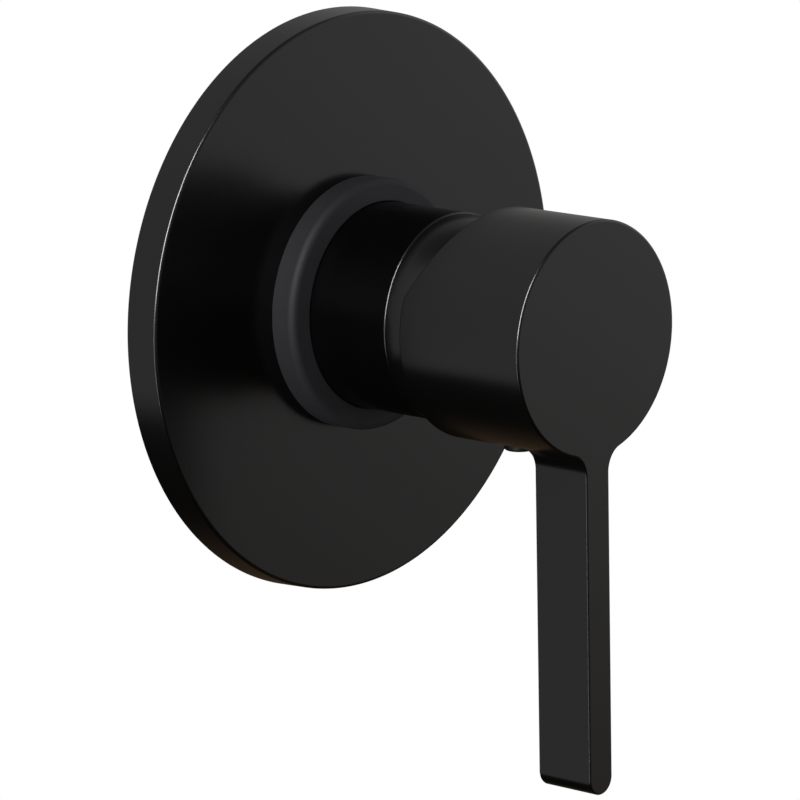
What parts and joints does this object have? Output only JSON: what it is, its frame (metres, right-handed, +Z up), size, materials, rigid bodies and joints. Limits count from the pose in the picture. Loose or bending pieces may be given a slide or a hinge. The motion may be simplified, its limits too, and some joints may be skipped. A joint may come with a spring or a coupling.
{
  "type": "shower mixer",
  "caption": "Wall-mounted single-lever shower mixer: round cover plate, sleeve, lever head with a slim blade, and a disc cartridge in a compact valve body.",
  "frame": {"origin": "centre of the fixing flange on the finished wall, on the mixer's axis", "axes": "-Y out of the wall along the mixer's axis, +X to the right seen from the front, +Z up; the blade hangs towards -Z"},
  "size_m": [0.12, 0.0982, 0.1537],
  "materials": {
    "black_coat": "satin black coating",
    "soft_rubber": "matt moulded rubber, dark bluish grey",
    "foam": "closed-cell foam",
    "ring_rubber": "smooth black rubber",
    "black_plastic": "moulded, satin",
    "raw_brass": "as cast, threads and faces turned",
    "screw_steel": "plain stainless",
    "white_plastic": "moulded acetal",
    "grey_plastic": "moulded acetal",
    "red_plastic": "moulded",
    "disc_ceramic": "lapped alumina",
    "fibre": "pressed fibre washer"
  },
  "bodies": {
    "valve": {"wall_plate": "black_coat", "plate_seal": "foam", "collar_ring": "soft_rubber", "sleeve": "black_coat", "sleeve_rings": "ring_rubber", "dome_cap": "black_coat", "mixer_body": "raw_brass", "cartridge_nut": "raw_brass", "cartridge_housing": "white_plastic", "cartridge_base": "white_plastic", "port_seals": "ring_rubber", "disc_seals": "ring_rubber", "fixed_disc": "disc_ceramic", "limit_ring": "red_plastic", "blanking_plug": "raw_brass", "plug_washer": "fibre"},
    "guide": {"spindle_guide": "grey_plastic", "spindle_ring": "ring_rubber", "pivot_pin": "screw_steel"},
    "lever": {"lever_handle": "black_coat", "grub_screw": "screw_steel", "screw_plug": "black_plastic", "spindle": "screw_steel"},
    "disc": {"moving_disc": "disc_ceramic", "disc_carrier": "white_plastic"}
  },
  "joints": [
    {"name": "temperature_turn", "type": "hinge", "parent": "valve", "child": "guide", "pos_m": [0, 0, 0], "axis": [0, -1, 0], "range_deg": [-50, 50]},
    {"name": "flow_lift", "type": "hinge", "parent": "guide", "child": "lever", "pos_m": [0, -0.034, 0], "axis": [-1, 0, 0], "range_deg": [0, 25]},
    {"name": "disc_slide", "type": "slide", "parent": "guide", "child": "disc", "axis": [0, 0, -1], "range_m": [0, 0.00596]}
  ],
  "couplings": [
    {"joint": "disc_slide", "follows": "flow_lift", "m_per_rad": 0.013609}
  ]
}
